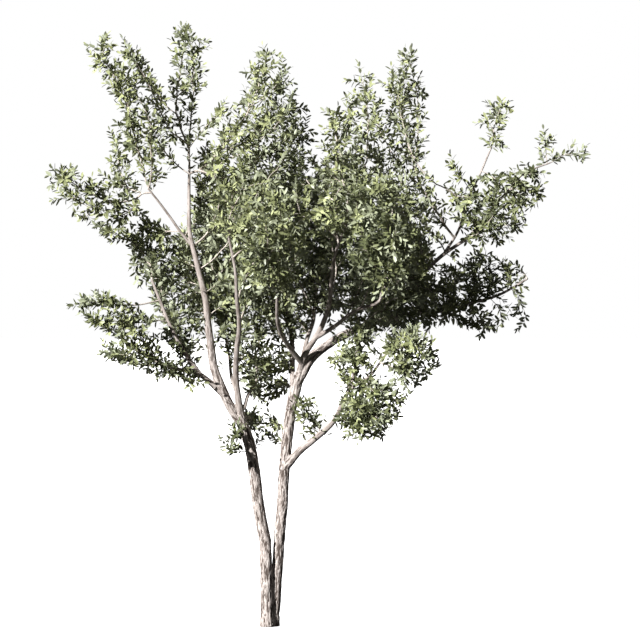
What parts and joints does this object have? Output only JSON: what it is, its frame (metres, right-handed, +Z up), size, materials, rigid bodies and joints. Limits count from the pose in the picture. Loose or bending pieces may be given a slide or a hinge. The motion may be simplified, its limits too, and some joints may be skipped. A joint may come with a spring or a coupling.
{
  "type": "olive tree",
  "caption": "Olive tree, two slender stems from one foot with a flat cut at ground level, under an open, upswept crown of small grey-green leaves.",
  "frame": {"origin": "middle of the flat cut under the trunk, at ground level", "axes": "+Z up the tree; +X to the right of its open face, the way the longest lower bough reaches; -Y towards whoever looks at that face"},
  "size_m": [4.138, 2.7811, 4.59],
  "materials": {
    "old_bark": "rough, flaky, fissured grey-brown bark",
    "smooth_bark": "matt, finely ridged pale grey bark of younger limbs",
    "foliage": "small leathery leaves, grey-green above and silvery below"
  },
  "bodies": {
    "root": {"trunk": "old_bark", "left_stem": "old_bark", "right_stem": "old_bark", "left_leader": "smooth_bark", "low_left_bough": "smooth_bark", "left_bough": "smooth_bark", "left_fork": "smooth_bark", "inner_left_bough": "smooth_bark", "inner_left_back": "smooth_bark", "cross_bough": "smooth_bark", "low_right_bough": "smooth_bark", "low_right_rise": "smooth_bark", "low_right_out": "smooth_bark", "back_up_bough": "smooth_bark", "great_right_bough": "smooth_bark", "right_mid_bough": "smooth_bark", "right_upper_bough": "smooth_bark", "right_tip_bough": "smooth_bark", "right_spire_bough": "smooth_bark", "front_right_bough": "smooth_bark", "front_left_bough": "smooth_bark", "right_reach_bough": "smooth_bark", "back_right_bough": "smooth_bark", "top_spire": "foliage", "top_left_plume": "foliage", "left_upper_plume": "foliage", "left_far_plume": "foliage", "left_mid_mass": "foliage", "low_left_upper": "foliage", "low_left_lower": "foliage", "left_stem_spray": "foliage", "left_core": "foliage", "back_left": "foliage", "inner_left_mass": "foliage", "inner_left_low": "foliage", "cross_mass": "foliage", "low_cross_spray": "foliage", "centre_peak": "foliage", "centre_shoulder": "foliage", "centre_mid": "foliage", "front_centre": "foliage", "back_centre": "foliage", "right_peak_one": "foliage", "right_peak_two": "foliage", "right_peak_three": "foliage", "right_core": "foliage", "front_right": "foliage", "back_right": "foliage", "back_low_right": "foliage", "small_spire": "foliage", "right_spire": "foliage", "right_main": "foliage", "right_end_one": "foliage", "right_end_two": "foliage", "right_mid_mass": "foliage", "right_under_spray": "foliage", "low_right_upper": "foliage", "low_right_lower": "foliage", "low_right_inner": "foliage", "right_stem_spray": "foliage"}
  },
  "joints": []
}
